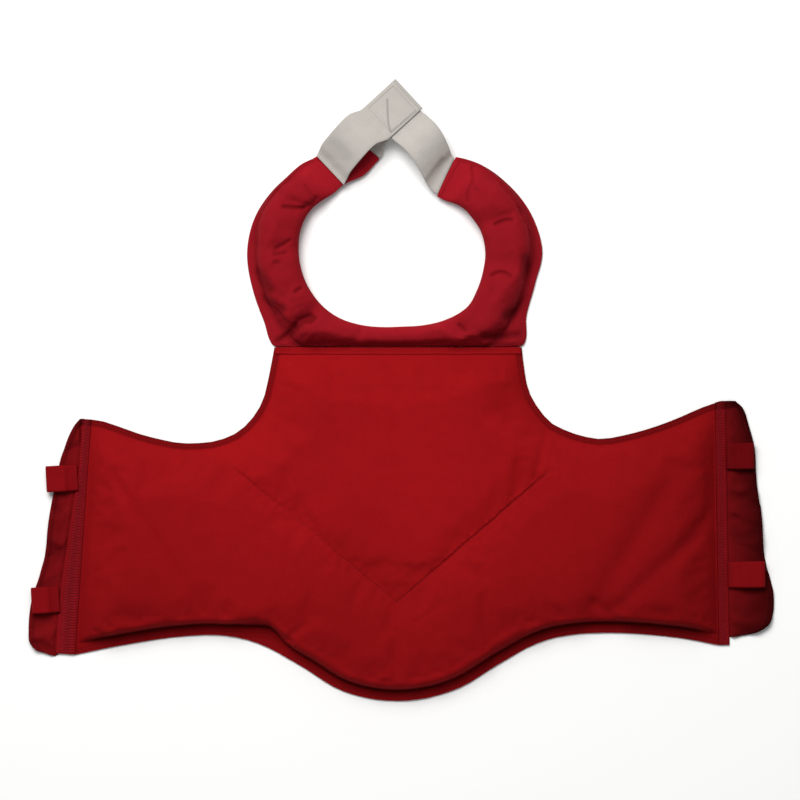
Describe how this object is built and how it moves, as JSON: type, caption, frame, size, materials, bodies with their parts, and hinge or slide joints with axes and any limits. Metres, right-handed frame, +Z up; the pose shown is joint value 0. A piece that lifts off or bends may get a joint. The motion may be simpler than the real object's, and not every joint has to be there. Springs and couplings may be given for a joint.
{
  "type": "chest protector",
  "caption": "Padded cloth chest protector laid flat: winged body panel, stuffed collar ring, webbing belt loops on side flaps, and crossed elastic neck straps.",
  "frame": {"origin": "middle of the outline's box, on the surface that the protector lies on", "axes": "+X across the chest from the left wing to the right one as seen from above, +Y from the belly edge to the neck, +Z up out of the front face"},
  "size_m": [0.7446, 0.6212, 0.0301],
  "materials": {
    "panel_cloth": "matte red cotton canvas over foam",
    "collar_cloth": "matte red cotton canvas, stuffed",
    "band_cloth": "red zigzag-stitched elastic band",
    "flap_cloth": "matte red cotton canvas, unpadded",
    "loop_webbing": "matte red woven webbing",
    "neck_elastic": "off-white ribbed elastic tape"
  },
  "bodies": {
    "root": {"chest_panel": "panel_cloth", "collar_pad": "collar_cloth", "collar_seam_strip": "panel_cloth", "side_band_left": "band_cloth", "side_band_right": "band_cloth", "side_flap_left": "flap_cloth", "side_flap_right": "flap_cloth", "belt_loop_left_upper": "loop_webbing", "belt_loop_left_lower": "loop_webbing", "belt_loop_right_upper": "loop_webbing", "belt_loop_right_lower": "loop_webbing", "neck_strap_left": "neck_elastic", "neck_strap_right": "neck_elastic"}
  },
  "joints": []
}
